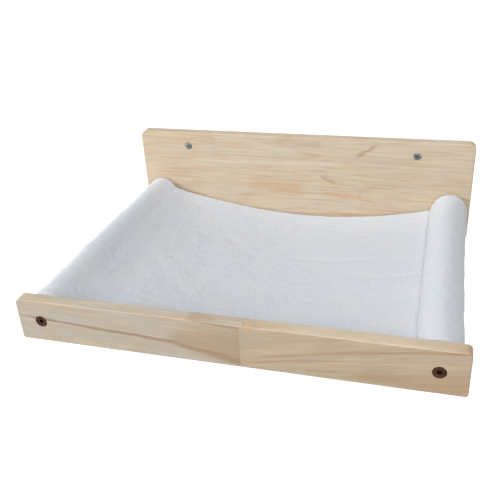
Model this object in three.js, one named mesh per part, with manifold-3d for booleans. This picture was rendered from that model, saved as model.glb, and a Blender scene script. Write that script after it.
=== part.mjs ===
// A wall-mounted cat perch bed: a plush hammock hung on two wooden dowels, which
// bolts hold between a tall back board and a low front board.
// Millimetres, +Z up, +Y into the wall, +X to the right of someone who faces the wall.
// The origin is the centre of the back board's rear face.

import * as THREE from "three";
import { mergeVertices } from "three/addons/utils/BufferGeometryUtils.js";
import Module from "manifold-3d";

const wasm = await Module();
wasm.setup();

// Boards
const boardLength = 450;
const boardThickness = 15;
const backBoardHeight = 132;
const frontBoardHeight = 48;
const backCornerRadius = 8;
const frontTopCornerRadius = 5;
const frontBottomCornerRadius = 3;
const edgeRounding = 1.5;

// Dowels
const dowelDiameter = 28;
const dowelLength = 325;
const dowelEndInset = 26.5; // from the dowel's axis to the boards' ends
const dowelAboveBottom = 40; // from the back board's lower edge to the dowel's axis
const dowelChamfer = 1.2;
const dowelEndGap = 0.3;

// Furniture bolts and the threaded inserts that they turn into
const boltDiameter = 6;
const boltHeadDiameter = 12.5;
const boltHeadRim = 0.7;
const boltShortOfInsert = 1; // from the bolt's tip to the insert's inner end
const boltHeadSink = 0.3;
const boltPointChamfer = 0.8;
const socketAcross = 4; // across the flats of the hexagonal recess
const socketSides = 6;
const socketDepth = 2.6;
const insertDiameter = 10;
const insertLength = 20;

// Wall screws
const wallScrewEndInset = 70;
const wallScrewBelowTop = 19;
const wallScrewDiameter = 4.5;
const wallScrewHeadDiameter = 9.6;
const wallScrewHeadRim = 0.6;
const wallScrewBehindBoard = 30;
const wallScrewPointLength = 7;
const wallScrewHeadSink = 0.6;
const crossRecessLength = 5.4;
const crossRecessWidth = 1.3;
const crossRecessDepth = 2.2;

// Fits
const fitGap = 0.3; // radial, round every fastener, insert and dowel
const holeOverrun = 1; // how far a cut runs past the face that it opens

// Hammock
const clothThickness = 7.2; // two layers of plush with their pile
const clothEndGap = 2; // between the hammock's edges and each board
const sleevePuff = 2; // extra height of the cloth over the dowel
const sleeveSlack = 2.5; // how far the cloth hangs below the dowel
const seamLip = 1.5; // ridge where the sleeve is stitched shut, beside the seat
const seamLipAbove = 2.1; // height of that ridge over the dowel's axis
const seamLipHalfHeight = 6;
const clothEdgeRounding = 2.4;
const seatTopAtSeam = 4.5; // the seat's top over the dowel's axis, at the seams
const seatSag = 20.3; // from the seams down to the lowest line of the seat
const seatLowOffset = 35; // how far that line lies to the right of the middle
const seatBendLength = 60; // half the width of the rounded bottom
const seatRiseLength = 16; // the short rise beside the right seam
const seatPanelGap = 0.3;
const hemWidth = 28;
const hemSwell = 1; // extra thickness of the turned hem, on each side
const hemGroove = 1.1; // depth of its line of stitches
const hemGrooveWidth = 3;
// Soft folds: fromRear and halfWidth are shares of the cloth's length, fromRightSeam and
// halfLength of the seat's width between its seams, and depth of the cloth's thickness
const seatFoldShares = [
  { fromRear: 0.52, fromRightSeam: 0.08, halfLength: 0.097, halfWidth: 0.022, depth: 0.22 },
  { fromRear: 0.39, fromRightSeam: 0.337, halfLength: 0.12, halfWidth: 0.028, depth: 0.17 },
];

// Smoothness of the round and soft surfaces
const roundSides = 24;
const cornerSteps = 5;
const roundingSteps = 2;
const sleeveSides = 26;
const sleeveRings = 10;
const seatColumns = 30;
const seatRows = 8;
const weldDistance = 1e-4;

// Places that follow from the sizes above
const dowelRadius = dowelDiameter / 2;
const dowelX = boardLength / 2 - dowelEndInset;
const dowelZ = dowelAboveBottom - backBoardHeight / 2;
const frontBoardRearY = -(boardThickness + dowelLength);
const dowelMiddleY = -(boardThickness + dowelLength / 2);
const wallScrewX = boardLength / 2 - wallScrewEndInset;
const wallScrewZ = backBoardHeight / 2 - wallScrewBelowTop;
const clothLength = dowelLength - 2 * clothEndGap;
const sleeveBore = dowelRadius + fitGap;
const sleeveRadius = sleeveBore + clothThickness;
const seatEndX = dowelX - sleeveRadius - seamLip - seatPanelGap;
const seatWidth = 2 * seatEndX;

const pine = new THREE.MeshStandardMaterial({ color: 0xd9c29b, roughness: 0.62, metalness: 0 });
const dowelPine = new THREE.MeshStandardMaterial({ color: 0xd6bc8f, roughness: 0.65, metalness: 0 });
const plush = new THREE.MeshStandardMaterial({ color: 0xe4e7ea, roughness: 0.95, metalness: 0 });
const bronzedSteel = new THREE.MeshStandardMaterial({ color: 0x33261c, roughness: 0.45, metalness: 0.8 });
const zincSteel = new THREE.MeshStandardMaterial({ color: 0xb4b8b6, roughness: 0.35, metalness: 0.9 });

// A closed mesh as a solid that can be cut and joined
function solidFrom(geometry) {
  const bare = geometry.clone();
  bare.deleteAttribute("normal");
  bare.deleteAttribute("uv");
  const welded = mergeVertices(bare, weldDistance);
  const index = welded.index.array;
  const corners = [];
  for (let i = 0; i < index.length; i += 3) {
    const [a, b, c] = [index[i], index[i + 1], index[i + 2]];
    if (a !== b && b !== c && c !== a) corners.push(a, b, c);
  }
  return new wasm.Manifold(
    new wasm.Mesh({
      numProp: 3,
      vertProperties: Float32Array.from(welded.attributes.position.array),
      triVerts: Uint32Array.from(corners),
    }),
  );
}

function geometryFrom(solid) {
  const { vertProperties, triVerts } = solid.getMesh();
  const geometry = new THREE.BufferGeometry();
  geometry.setAttribute("position", new THREE.BufferAttribute(vertProperties, 3));
  geometry.setIndex(new THREE.BufferAttribute(triVerts, 1));
  geometry.computeVertexNormals();
  return geometry;
}

function cutFrom(geometry, cutters) {
  let solid = solidFrom(geometry);
  for (const cutter of cutters) solid = solid.subtract(solidFrom(cutter));
  return geometryFrom(solid);
}

// A turned piece about the Y axis, from [radius, y] pairs with y rising on the outside
function turned(profile) {
  return new THREE.LatheGeometry(
    profile.map(([radius, y]) => new THREE.Vector2(radius, y)),
    roundSides,
  );
}

function cylinderAlongY(radius, fromY, toY, sides = roundSides) {
  const geometry = new THREE.CylinderGeometry(radius, radius, toY - fromY, sides);
  geometry.translate(0, (fromY + toY) / 2, 0);
  return geometry;
}

function named(name, geometry, material, x = 0, y = 0, z = 0) {
  const mesh = new THREE.Mesh(geometry, material);
  mesh.name = name;
  mesh.position.set(x, y, z);
  return mesh;
}

// A board's outline in its own X and Z, centred, with its own radius at top and bottom
function boardOutline(height, topRadius, bottomRadius) {
  const topX = boardLength / 2 - topRadius;
  const topZ = height / 2 - topRadius;
  const bottomX = boardLength / 2 - bottomRadius;
  const bottomZ = bottomRadius - height / 2;
  const quarter = Math.PI / 2;
  const outline = new THREE.Shape();
  outline.absarc(bottomX, bottomZ, bottomRadius, -quarter, 0);
  outline.absarc(topX, topZ, topRadius, 0, quarter);
  outline.absarc(-topX, topZ, topRadius, quarter, 2 * quarter);
  outline.absarc(-bottomX, bottomZ, bottomRadius, 2 * quarter, 3 * quarter);
  outline.closePath();
  return outline;
}

// The rear face lies at y = 0 and the front face at y = -boardThickness.
function boardBlank(height, topRadius, bottomRadius) {
  const blank = new THREE.ExtrudeGeometry(boardOutline(height, topRadius, bottomRadius), {
    depth: boardThickness - 2 * edgeRounding,
    bevelEnabled: true,
    bevelThickness: edgeRounding,
    bevelSize: edgeRounding,
    bevelOffset: -edgeRounding,
    bevelSegments: roundingSteps,
    curveSegments: cornerSteps,
  });
  blank.translate(0, 0, edgeRounding);
  blank.rotateX(Math.PI / 2);
  return blank;
}

// Cutters for a countersunk hole, sunk from y = 0 towards +Y
function countersunkHole(shankDiameter, headDiameter, rim, sink) {
  const shankRadius = shankDiameter / 2 + fitGap;
  const headRadius = headDiameter / 2 + fitGap;
  const straight = sink + rim + fitGap;
  const coneDepth = headRadius - shankRadius;
  return [
    cylinderAlongY(shankRadius, -holeOverrun, boardThickness + holeOverrun),
    turned([
      [0, -holeOverrun],
      [headRadius, -holeOverrun],
      [headRadius, straight],
      [shankRadius, straight + coneDepth],
      [0, straight + coneDepth],
    ]),
  ];
}

function moved(cutters, x, y, z, facesRear = false) {
  return cutters.map((cutter) => {
    if (facesRear) cutter.rotateZ(Math.PI);
    return cutter.translate(x, y, z);
  });
}

function boltHole(x, y, z, facesRear) {
  const hole = countersunkHole(boltDiameter, boltHeadDiameter, boltHeadRim, boltHeadSink);
  return moved(hole, x, y, z, facesRear);
}

function wallScrewHole(x, y, z) {
  const [shank, head] = [wallScrewDiameter, wallScrewHeadDiameter];
  return moved(countersunkHole(shank, head, wallScrewHeadRim, wallScrewHeadSink), x, y, z);
}

function backBoard() {
  const blank = boardBlank(backBoardHeight, backCornerRadius, backCornerRadius);
  const cutters = [];
  for (const side of [-1, 1]) {
    cutters.push(...boltHole(side * dowelX, 0, dowelZ, true));
    cutters.push(...wallScrewHole(side * wallScrewX, -boardThickness, wallScrewZ));
  }
  return cutFrom(blank, cutters);
}

function frontBoard() {
  const blank = boardBlank(frontBoardHeight, frontTopCornerRadius, frontBottomCornerRadius);
  const cutters = [];
  for (const side of [-1, 1]) cutters.push(...boltHole(side * dowelX, -boardThickness, 0, false));
  return cutFrom(blank, cutters);
}

// A dowel with a bore for an insert in each end, centred on its own origin
function dowel() {
  const halfLength = dowelLength / 2 - dowelEndGap;
  const rod = turned([
    [0, -halfLength],
    [dowelRadius - dowelChamfer, -halfLength],
    [dowelRadius, dowelChamfer - halfLength],
    [dowelRadius, halfLength - dowelChamfer],
    [dowelRadius - dowelChamfer, halfLength],
    [0, halfLength],
  ]);
  const boreRadius = insertDiameter / 2 + fitGap;
  const boreDepth = insertLength + 2 * fitGap;
  return cutFrom(rod, [
    cylinderAlongY(boreRadius, -halfLength - holeOverrun, boreDepth - halfLength),
    cylinderAlongY(boreRadius, halfLength - boreDepth, halfLength + holeOverrun),
  ]);
}

// A threaded insert as a plain sleeve, from y = 0 towards +Y
function insert() {
  const outer = insertDiameter / 2;
  const inner = boltDiameter / 2 + fitGap;
  return turned([
    [inner, 0],
    [outer, 0],
    [outer, insertLength],
    [inner, insertLength],
    [inner, 0],
  ]);
}

// A countersunk furniture bolt with its head at y = 0 and its shank towards +Y
function furnitureBolt() {
  const shankRadius = boltDiameter / 2;
  const headRadius = boltHeadDiameter / 2;
  const headDepth = boltHeadRim + headRadius - shankRadius;
  const tip = boardThickness + dowelEndGap + insertLength - boltShortOfInsert - boltHeadSink;
  const blank = turned([
    [0, 0],
    [headRadius, 0],
    [headRadius, boltHeadRim],
    [shankRadius, headDepth],
    [shankRadius, tip - boltPointChamfer],
    [shankRadius - boltPointChamfer, tip],
    [0, tip],
  ]);
  const socketRadius = socketAcross / Math.sqrt(3);
  return cutFrom(blank, [cylinderAlongY(socketRadius, -holeOverrun, socketDepth, socketSides)]);
}

// A countersunk wall screw with a cross recess, its head at y = 0 and its point towards +Y
function wallScrew() {
  const shankRadius = wallScrewDiameter / 2;
  const headRadius = wallScrewHeadDiameter / 2;
  const headDepth = wallScrewHeadRim + headRadius - shankRadius;
  const tip = boardThickness + wallScrewBehindBoard - wallScrewHeadSink;
  const blank = turned([
    [0, 0],
    [headRadius, 0],
    [headRadius, wallScrewHeadRim],
    [shankRadius, headDepth],
    [shankRadius, tip - wallScrewPointLength],
    [0, tip],
  ]);
  const cutDepth = crossRecessDepth + holeOverrun;
  const recess = [
    new THREE.BoxGeometry(crossRecessLength, cutDepth, crossRecessWidth),
    new THREE.BoxGeometry(crossRecessWidth, cutDepth, crossRecessLength),
  ];
  return cutFrom(
    blank,
    recess.map((slot) => slot.translate(0, crossRecessDepth - cutDepth / 2, 0)),
  );
}

function smoothStep(value) {
  const clamped = Math.min(1, Math.max(0, value));
  return clamped * clamped * (3 - 2 * clamped);
}

// Joins loops of points into a skin; each loop turns clockwise seen along the way to the next
function skinOver(loops, closesOnItself) {
  const count = loops[0].length;
  const positions = loops.flat().flatMap((point) => [point.x, point.y, point.z]);
  const index = [];
  const spans = closesOnItself ? loops.length : loops.length - 1;
  for (let j = 0; j < spans; j += 1) {
    const here = j * count;
    const next = ((j + 1) % loops.length) * count;
    for (let i = 0; i < count; i += 1) {
      const k = (i + 1) % count;
      index.push(here + i, next + i, next + k, here + i, next + k, here + k);
    }
  }
  return { positions, index };
}

function skinGeometry({ positions, index }) {
  const geometry = new THREE.BufferGeometry();
  geometry.setAttribute("position", new THREE.Float32BufferAttribute(positions, 3));
  geometry.setIndex(index);
  geometry.computeVertexNormals();
  return geometry;
}

// How far from its end, from 0 to half the cloth, each ring or row of the cloth lies
function clothStations(closeToEnd, inside) {
  const start = closeToEnd[closeToEnd.length - 1];
  const stations = [...closeToEnd];
  for (let i = 1; i < inside; i += 1) {
    stations.push(start + ((clothLength - 2 * start) * i) / inside);
  }
  for (const station of [...closeToEnd].reverse()) stations.push(clothLength - station);
  return stations;
}

// The sleeve's radius at an angle from the seat's side, over the top
function sleeveRadiusAt(angle, station) {
  const height = Math.sin(angle);
  const lipOffset = sleeveRadius * height - seamLipAbove;
  const onSeatSide = Math.cos(angle) > 0 ? 1 : 0;
  const lip = onSeatSide * seamLip * Math.exp(-((lipOffset / seamLipHalfHeight) ** 2));
  const puff = height > 0 ? sleevePuff * height * height : sleeveSlack * height * height;
  const fromEnd = Math.min(station, clothLength - station);
  const rounding = clothEdgeRounding * (1 - smoothStep(fromEnd / clothEdgeRounding));
  return sleeveRadius + puff + lip - rounding;
}

// The sewn sleeve round a dowel; side is 1 on the right and -1 on the left
function sleeve(side) {
  const stations = clothStations([0, clothEdgeRounding / 2, clothEdgeRounding], sleeveRings);
  const loopAt = (station, radiusAt) => {
    const loop = [];
    for (let i = 0; i < sleeveSides; i += 1) {
      const turn = (i * 2 * Math.PI) / sleeveSides;
      const angle = side > 0 ? 2 * Math.PI - turn : turn;
      const radius = radiusAt(angle, station);
      const x = -side * radius * Math.cos(angle);
      const z = radius * Math.sin(angle);
      loop.push(new THREE.Vector3(x, station - clothLength / 2, z));
    }
    return loop;
  };
  const outside = stations.map((station) => loopAt(station, sleeveRadiusAt));
  const inside = [clothLength, 0].map((station) => loopAt(station, () => sleeveBore));
  return skinGeometry(skinOver([...outside, ...inside], true));
}

// Height of the seat's top over the dowels' axes, before folds
function seatTopAt(x) {
  const curve = (distance) => Math.hypot(distance, seatBendLength) - seatBendLength;
  const fullRise = curve(-seatEndX - seatLowOffset);
  const height = (at) => seatTopAtSeam - seatSag * (1 - curve(at - seatLowOffset) / fullRise);
  const missing = seatTopAtSeam - height(seatEndX);
  return height(x) + missing * smoothStep((x - seatEndX + seatRiseLength) / seatRiseLength);
}

function foldDepthAt(x, fromRear) {
  let depth = 0;
  for (const share of seatFoldShares) {
    const along = ((seatEndX - x) / seatWidth - share.fromRightSeam) / share.halfLength;
    const across = (fromRear / clothLength - share.fromRear) / share.halfWidth;
    depth += share.depth * clothThickness * Math.exp(-(along ** 2) - across ** 2);
  }
  return depth;
}

// How much thicker than the cloth the hem is, on each side, at a distance from the edge
function hemSwellAt(fromEdge) {
  const swell = hemSwell * (1 - smoothStep((fromEdge - hemWidth + hemGrooveWidth) / hemGrooveWidth));
  const groove = hemGroove * Math.exp(-(((fromEdge - hemWidth) / hemGrooveWidth) ** 2));
  const rounding = clothEdgeRounding * (1 - Math.sqrt(Math.min(1, fromEdge / clothEdgeRounding)));
  return swell - groove - rounding;
}

// The seat between the sleeves, with a turned hem along its front and rear edges
function seatPanel() {
  const closeToEdge = [
    0,
    clothEdgeRounding / 2,
    clothEdgeRounding,
    hemWidth - 2 * hemGrooveWidth,
    hemWidth,
    hemWidth + 2 * hemGrooveWidth,
  ];
  const loops = clothStations(closeToEdge, seatRows).map((station) => {
    const fromEdge = Math.min(station, clothLength - station);
    const top = [];
    const bottom = [];
    for (let i = 0; i <= seatColumns; i += 1) {
      const x = seatEndX * ((2 * i) / seatColumns - 1);
      const y = station - clothLength / 2;
      const fold = foldDepthAt(x, clothLength - station);
      const swell = hemSwellAt(fromEdge);
      const surface = seatTopAt(x) - fold;
      top.push(new THREE.Vector3(x, y, surface + swell));
      bottom.push(new THREE.Vector3(x, y, surface - clothThickness - swell));
    }
    return [...top.reverse(), ...bottom];
  });
  const skin = skinOver(loops, false);
  const last = (loops.length - 1) * loops[0].length;
  const around = loops[0].length - 1;
  for (let i = 0; i < seatColumns; i += 1) {
    const [a, b, c, d] = [i, i + 1, around - i - 1, around - i];
    skin.index.push(a, b, c, a, c, d);
    skin.index.push(last + a, last + c, last + b, last + a, last + d, last + c);
  }
  return skinGeometry(skin);
}

// A dowel with its sleeve and the fasteners in its two ends
function railAt(side, sideName) {
  const rail = new THREE.Group();
  rail.position.set(side * dowelX, dowelMiddleY, dowelZ);
  rail.add(named(`${sideName}_dowel`, dowel(), dowelPine));
  rail.add(named(`${sideName}_sleeve`, sleeve(side), plush));
  for (const [endName, towardsWall] of [["front", -1], ["rear", 1]]) {
    const end = new THREE.Group();
    end.position.y = towardsWall * (dowelLength / 2 + boardThickness);
    if (towardsWall > 0) end.rotation.z = Math.PI;
    end.add(named(`${sideName}_${endName}_bolt`, furnitureBolt(), bronzedSteel, 0, boltHeadSink));
    end.add(named(`${sideName}_${endName}_insert`, insert(), zincSteel, 0, boardThickness + dowelEndGap));
    rail.add(end);
  }
  return rail;
}

const perch = new THREE.Group();
perch.add(named("back_board", backBoard(), pine));
perch.add(named("front_board", frontBoard(), pine, 0, frontBoardRearY, dowelZ));
perch.add(named("seat_panel", seatPanel(), plush, 0, dowelMiddleY, dowelZ));
for (const [side, sideName] of [[-1, "left"], [1, "right"]]) {
  perch.add(railAt(side, sideName));
  const screwY = wallScrewHeadSink - boardThickness;
  perch.add(named(`${sideName}_wall_screw`, wallScrew(), zincSteel, side * wallScrewX, screwY, wallScrewZ));
}

export default perch;
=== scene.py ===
import math

import bmesh
import bpy
import numpy as np
from mathutils import Matrix, Vector


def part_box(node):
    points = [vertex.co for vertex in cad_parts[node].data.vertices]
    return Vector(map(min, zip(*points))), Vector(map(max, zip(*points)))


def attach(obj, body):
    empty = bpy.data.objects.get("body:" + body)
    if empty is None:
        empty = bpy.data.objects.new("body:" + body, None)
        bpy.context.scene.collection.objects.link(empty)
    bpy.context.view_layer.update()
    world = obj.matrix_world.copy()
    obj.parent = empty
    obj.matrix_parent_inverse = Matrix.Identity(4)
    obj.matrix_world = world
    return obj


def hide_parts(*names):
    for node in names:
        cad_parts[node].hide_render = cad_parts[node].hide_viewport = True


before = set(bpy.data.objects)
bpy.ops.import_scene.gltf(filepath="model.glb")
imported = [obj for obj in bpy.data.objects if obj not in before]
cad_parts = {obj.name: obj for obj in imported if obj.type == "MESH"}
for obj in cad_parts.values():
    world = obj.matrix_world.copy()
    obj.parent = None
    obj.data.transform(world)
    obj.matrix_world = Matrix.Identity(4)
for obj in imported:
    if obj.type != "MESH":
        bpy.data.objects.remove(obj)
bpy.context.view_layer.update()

mm = 0.001
print("frame loaded")


# Camera

cameraSettings = {
    "place": (183.1 * mm, -846.8 * mm, 354.6 * mm),
    "pitch": -0.4899,  # radians, looking down
    "yaw": -0.3001,  # radians, turned to the left
    "roll": -0.0557,
    "focalPixels": 671.7,
    "picturePixels": 500,
    "sensorWidth": 36,
}


def makeCamera(s):
    yaw, pitch, roll = s["yaw"], s["pitch"], s["roll"]
    forward = Vector((
        math.sin(yaw) * math.cos(pitch),
        math.cos(yaw) * math.cos(pitch),
        math.sin(pitch),
    ))
    level = Vector((math.cos(yaw), -math.sin(yaw), 0))
    upright = level.cross(forward)
    right = level * math.cos(roll) + upright * math.sin(roll)
    top = upright * math.cos(roll) - level * math.sin(roll)
    data = bpy.data.cameras.new("camera")
    data.sensor_width = s["sensorWidth"]
    data.lens = s["focalPixels"] / s["picturePixels"] * s["sensorWidth"]
    camera = bpy.data.objects.new("camera", data)
    turn = Matrix((right, top, -forward)).transposed().to_4x4()
    camera.matrix_world = Matrix.Translation(s["place"]) @ turn
    bpy.context.scene.collection.objects.link(camera)
    bpy.context.scene.camera = camera


makeCamera(cameraSettings)
print("camera placed")


# Node helpers

def addNode(tree, kind, **settings):
    node = tree.nodes.new(kind)
    for name, value in settings.items():
        setattr(node, name, value)
    return node


def feed(tree, socket, value):
    if isinstance(value, bpy.types.NodeSocket):
        tree.links.new(value, socket)
    else:
        socket.default_value = value


def calc(tree, operation, *values, clamp=False):
    node = addNode(tree, "ShaderNodeMath", operation=operation, use_clamp=clamp)
    for socket, value in zip(node.inputs, values):
        feed(tree, socket, value)
    return node.outputs[0]


def scaled(tree, vector, x, y, z):
    # A vector with each of its parts multiplied
    node = addNode(tree, "ShaderNodeVectorMath", operation="MULTIPLY")
    feed(tree, node.inputs[0], vector)
    feed(tree, node.inputs[1], (x, y, z))
    return node.outputs[0]


def between(tree, value, low, high, toLow=0, toHigh=1):
    # A smooth step from toLow to toHigh as the value goes from low to high
    node = addNode(tree, "ShaderNodeMapRange", interpolation_type="SMOOTHSTEP")
    names = ("Value", "From Min", "From Max", "To Min", "To Max")
    for name, number in zip(names, (value, low, high, toLow, toHigh)):
        feed(tree, node.inputs[name], number)
    return node.outputs[0]


def noiseValue(tree, vector, scale, detail=2, roughness=0.5):
    node = addNode(tree, "ShaderNodeTexNoise")
    feed(tree, node.inputs["Vector"], vector)
    feed(tree, node.inputs["Scale"], scale)
    feed(tree, node.inputs["Detail"], detail)
    feed(tree, node.inputs["Roughness"], roughness)
    return node.outputs["Fac"]


def randomValue(tree, number):
    node = addNode(tree, "ShaderNodeTexWhiteNoise", noise_dimensions="1D")
    feed(tree, node.inputs["W"], number)
    return node.outputs["Value"]


def blend(tree, factor, a, b):
    node = addNode(tree, "ShaderNodeMix", data_type="RGBA")
    for name, value in (("Factor_Float", factor), ("A_Color", a), ("B_Color", b)):
        socket = next(item for item in node.inputs if item.identifier == name)
        feed(tree, socket, value)
    return next(item for item in node.outputs if item.identifier == "Result_Color")


def xyz(tree, x, y, z):
    node = addNode(tree, "ShaderNodeCombineXYZ")
    for socket, value in zip(node.inputs, (x, y, z)):
        feed(tree, socket, value)
    return node.outputs[0]


def parts(tree, vector):
    node = addNode(tree, "ShaderNodeSeparateXYZ")
    feed(tree, node.inputs[0], vector)
    return node.outputs


def bump(tree, height, strength, distance):
    node = addNode(tree, "ShaderNodeBump")
    node.inputs["Strength"].default_value = strength
    node.inputs["Distance"].default_value = distance
    feed(tree, node.inputs["Height"], height)
    return node.outputs[0]


def placeGroup(tree, group, **values):
    node = addNode(tree, "ShaderNodeGroup", node_tree=group)
    for name, value in values.items():
        feed(tree, node.inputs[name], value)
    return node.outputs


def newGroup(name, numbers, results):
    # A shader group that takes a place and named numbers, and gives named numbers
    group = bpy.data.node_groups.new(name, "ShaderNodeTree")
    group.interface.new_socket(name="Place", in_out="INPUT", socket_type="NodeSocketVector")
    for number in numbers:
        group.interface.new_socket(name=number, in_out="INPUT", socket_type="NodeSocketFloat")
    for result in results:
        group.interface.new_socket(name=result, in_out="OUTPUT", socket_type="NodeSocketFloat")
    given = addNode(group, "NodeGroupInput").outputs
    return group, given, addNode(group, "NodeGroupOutput").inputs


def newMaterial(name):
    material = bpy.data.materials.new(name)
    material.use_nodes = True
    tree = material.node_tree
    return material, tree, tree.nodes["Principled BSDF"]


def objectPlace(tree):
    return addNode(tree, "ShaderNodeTexCoord").outputs["Object"]


def srgb(red, green, blue):
    # A colour read in steps of 0 to 255, as the linear values that a shader takes
    values = [v / 255 for v in (red, green, blue)]
    return tuple(v / 12.92 if v <= 0.04045 else ((v + 0.055) / 1.055) ** 2.4 for v in values) + (1,)


# Shared effects

growth = {
    # Noises, in turns per metre along the grain and across it
    "slow": (5, 22),
    "quick": (26, 160),
    "fibre": (16, 700),
    "pore": (200, 2400),
    "rippleShare": 0.12,
    "fallShare": 0.8,  # of a ring, over which it darkens
    "faintShare": 0.1,  # how strongly the faintest ring shows
    "poreRange": (0.66, 0.76),
}


def buildGrain(s):
    # Growth rings and fibres of a tree whose axis runs nearly along X
    numbers = ("RingWidth", "PithDepth", "PithHeight", "Waviness")
    group, given, out = newGroup("treeGrain", numbers, ("Rings", "Fibres", "Pores"))
    x, y, z = parts(group, given["Place"])

    def streaky(scales, detail):
        along, across = scales
        return noiseValue(group, scaled(group, given["Place"], along, across, across), 1, detail)

    swing = calc(group, "SUBTRACT", streaky(s["slow"], 2), 0.5)
    wave = calc(group, "MULTIPLY", swing, given["Waviness"])
    fine = calc(group, "MULTIPLY", given["Waviness"], s["rippleShare"])
    ripple = calc(group, "MULTIPLY", calc(group, "SUBTRACT", streaky(s["quick"], 2), 0.5), fine)
    depth = calc(group, "ADD", calc(group, "SUBTRACT", y, given["PithDepth"]), ripple)
    height = calc(group, "ADD", calc(group, "SUBTRACT", z, given["PithHeight"]), wave)
    squares = calc(group, "ADD", calc(group, "POWER", depth, 2), calc(group, "POWER", height, 2))
    count = calc(group, "DIVIDE", calc(group, "SQRT", squares), given["RingWidth"])
    part = calc(group, "FRACT", count)
    rise = calc(group, "POWER", part, 2)
    fall = between(group, part, s["fallShare"], 1, 1, 0)
    yearly = randomValue(group, calc(group, "FLOOR", count))
    weight = between(group, yearly, 0, 1, s["faintShare"], 1)
    line = calc(group, "MULTIPLY", calc(group, "MULTIPLY", rise, fall), weight)
    feed(group, out["Rings"], line)
    feed(group, out["Fibres"], streaky(s["fibre"], 4))
    feed(group, out["Pores"], between(group, streaky(s["pore"], 1), *s["poreRange"]))
    return group


glue = {"coreShare": 0.2}  # of a line's width, at its full strength


def buildJoint(s):
    # Which of two jointed lengths a place lies in, and the line of glue round their fingers
    numbers = ("JointX", "Reach", "Pitch", "LineWidth")
    group, given, out = newGroup("fingerJoint", numbers, ("Side", "Line"))
    x, y, z = parts(group, given["Place"])
    half = calc(group, "MULTIPLY", given["Pitch"], 0.5)
    tooth = calc(group, "PINGPONG", calc(group, "DIVIDE", z, half), 1)
    offset = calc(group, "MULTIPLY", calc(group, "SUBTRACT", tooth, 0.5), given["Reach"])
    away = calc(group, "SUBTRACT", x, calc(group, "ADD", given["JointX"], offset))
    feed(group, out["Side"], calc(group, "GREATER_THAN", away, 0))
    line = calc(group, "DIVIDE", calc(group, "ABSOLUTE", away), given["LineWidth"])
    feed(group, out["Line"], between(group, line, s["coreShare"], 1, 1, 0))
    return group


figures = {
    "along": 30,  # turns per metre of the noise that makes a streak stray
    "across": 120,
    "coreRange": (0.2, 1.5),  # of its width, from full strength to none
    "beginShare": 0.25,  # of its length, over which it comes up
}


def buildStreak(s):
    # A figure, darker or paler, that runs from one place to another and widens on its way.
    # Its bend is its height over the straight line at the middle, so the hump counts four times.
    numbers = ("FromX", "FromZ", "ToX", "ToZ", "FromWidth", "ToWidth", "Bend", "Stray", "EndFade")
    group, given, out = newGroup("grainStreak", numbers, ("Mask",))
    x, y, z = parts(group, given["Place"])
    run = calc(group, "SUBTRACT", given["ToX"], given["FromX"])
    way = calc(group, "DIVIDE", calc(group, "SUBTRACT", x, given["FromX"]), run)
    inside = calc(group, "MAXIMUM", calc(group, "MINIMUM", way, 1), 0)
    hump = calc(group, "MULTIPLY", inside, calc(group, "SUBTRACT", 1, inside))
    arch = calc(group, "MULTIPLY", hump, calc(group, "MULTIPLY", given["Bend"], 4))
    rise = calc(group, "SUBTRACT", given["ToZ"], given["FromZ"])
    middle = calc(group, "ADD", calc(group, "MULTIPLY_ADD", rise, inside, given["FromZ"]), arch)
    spread = scaled(group, given["Place"], s["along"], s["across"], s["across"])
    wobble = calc(group, "SUBTRACT", noiseValue(group, spread, 1, 3), 0.5)
    stray = calc(group, "MULTIPLY", wobble, given["Stray"])
    gain = calc(group, "SUBTRACT", given["ToWidth"], given["FromWidth"])
    width = calc(group, "MULTIPLY_ADD", gain, inside, given["FromWidth"])
    away = calc(group, "ABSOLUTE", calc(group, "ADD", calc(group, "SUBTRACT", z, middle), stray))
    core = between(group, calc(group, "DIVIDE", away, width), *s["coreRange"], 1, 0)
    begins = between(group, way, 0, s["beginShare"])
    ends = between(group, way, calc(group, "SUBTRACT", 1, given["EndFade"]), 1, 1, 0)
    feed(group, out["Mask"], calc(group, "MULTIPLY", core, calc(group, "MULTIPLY", begins, ends)))
    return group


treeGrain = buildGrain(growth)
fingerJoint = buildJoint(glue)
grainStreak = buildStreak(figures)
print("shared effects built")


# Wood

def findLength(tree, place, s):
    # Which jointed length of pine a place lies in, as a number, and the lines between the lengths
    x, y, z = parts(tree, place)
    step = calc(tree, "DIVIDE", calc(tree, "SUBTRACT", s["topZ"], z), s["staveHeight"])
    row = calc(tree, "MAXIMUM", calc(tree, "FLOOR", step), 0)
    joint = 0
    for i, jointX in enumerate(s["jointX"]):
        here = calc(tree, "COMPARE", row, i, 0.5)
        joint = calc(tree, "MULTIPLY_ADD", here, jointX, joint)
    jointed = placeGroup(
        tree,
        fingerJoint,
        Place=place,
        JointX=joint,
        Reach=s["fingerReach"],
        Pitch=s["fingerPitch"],
        LineWidth=s["glueWidth"],
    )
    offset = calc(tree, "ADD", jointed["Side"], s["seed"])
    seed = calc(tree, "ADD", calc(tree, "MULTIPLY", row, 2), offset)
    seam = calc(tree, "MULTIPLY", calc(tree, "PINGPONG", step, 0.5), s["staveHeight"] / s["seamWidth"])
    return seed, jointed, between(tree, seam, s["seamCoreShare"], 1, s["seamShow"], 0)


def logPlace(tree, place, seed, side, s):
    # A place in the tree that a length was sawn from: each length has its own stretch and lean
    x, y, z = parts(tree, place)
    leftLean, rightLean = s["leans"]
    lean = calc(tree, "MULTIPLY_ADD", side, rightLean - leftLean, leftLean)
    level = calc(tree, "SUBTRACT", z, calc(tree, "MULTIPLY", lean, x))
    return xyz(tree, calc(tree, "MULTIPLY_ADD", seed, s["logStep"], x), y, level)


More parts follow.
